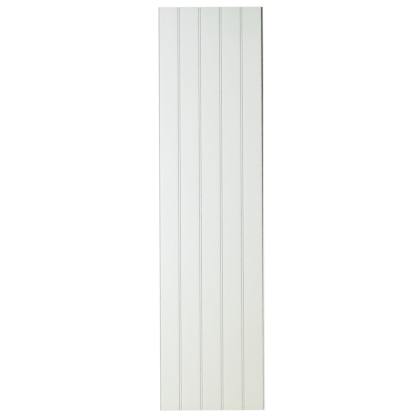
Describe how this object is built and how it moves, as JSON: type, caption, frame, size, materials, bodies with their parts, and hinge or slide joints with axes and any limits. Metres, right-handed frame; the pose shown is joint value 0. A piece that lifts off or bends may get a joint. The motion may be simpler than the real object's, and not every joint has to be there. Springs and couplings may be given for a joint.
{
  "type": "beadboard panel",
  "caption": "Moulded fibreboard wall panel with beads between quirks along its face, satin off-white paint, and a tongue and a groove on its long edges.",
  "frame": {"origin": "on the back face, under the middle of the panel's length and of its overall width with the tongue", "axes": "+X across the boards, towards the tongue; +Y along the boards, towards the end that the picture shows at the top; +Z from the back to the finished face"},
  "size_m": [0.623, 2.4, 0.012],
  "materials": {
    "painted_fibreboard": "satin"
  },
  "bodies": {
    "root": {"beadboard_panel": "painted_fibreboard"}
  },
  "joints": []
}
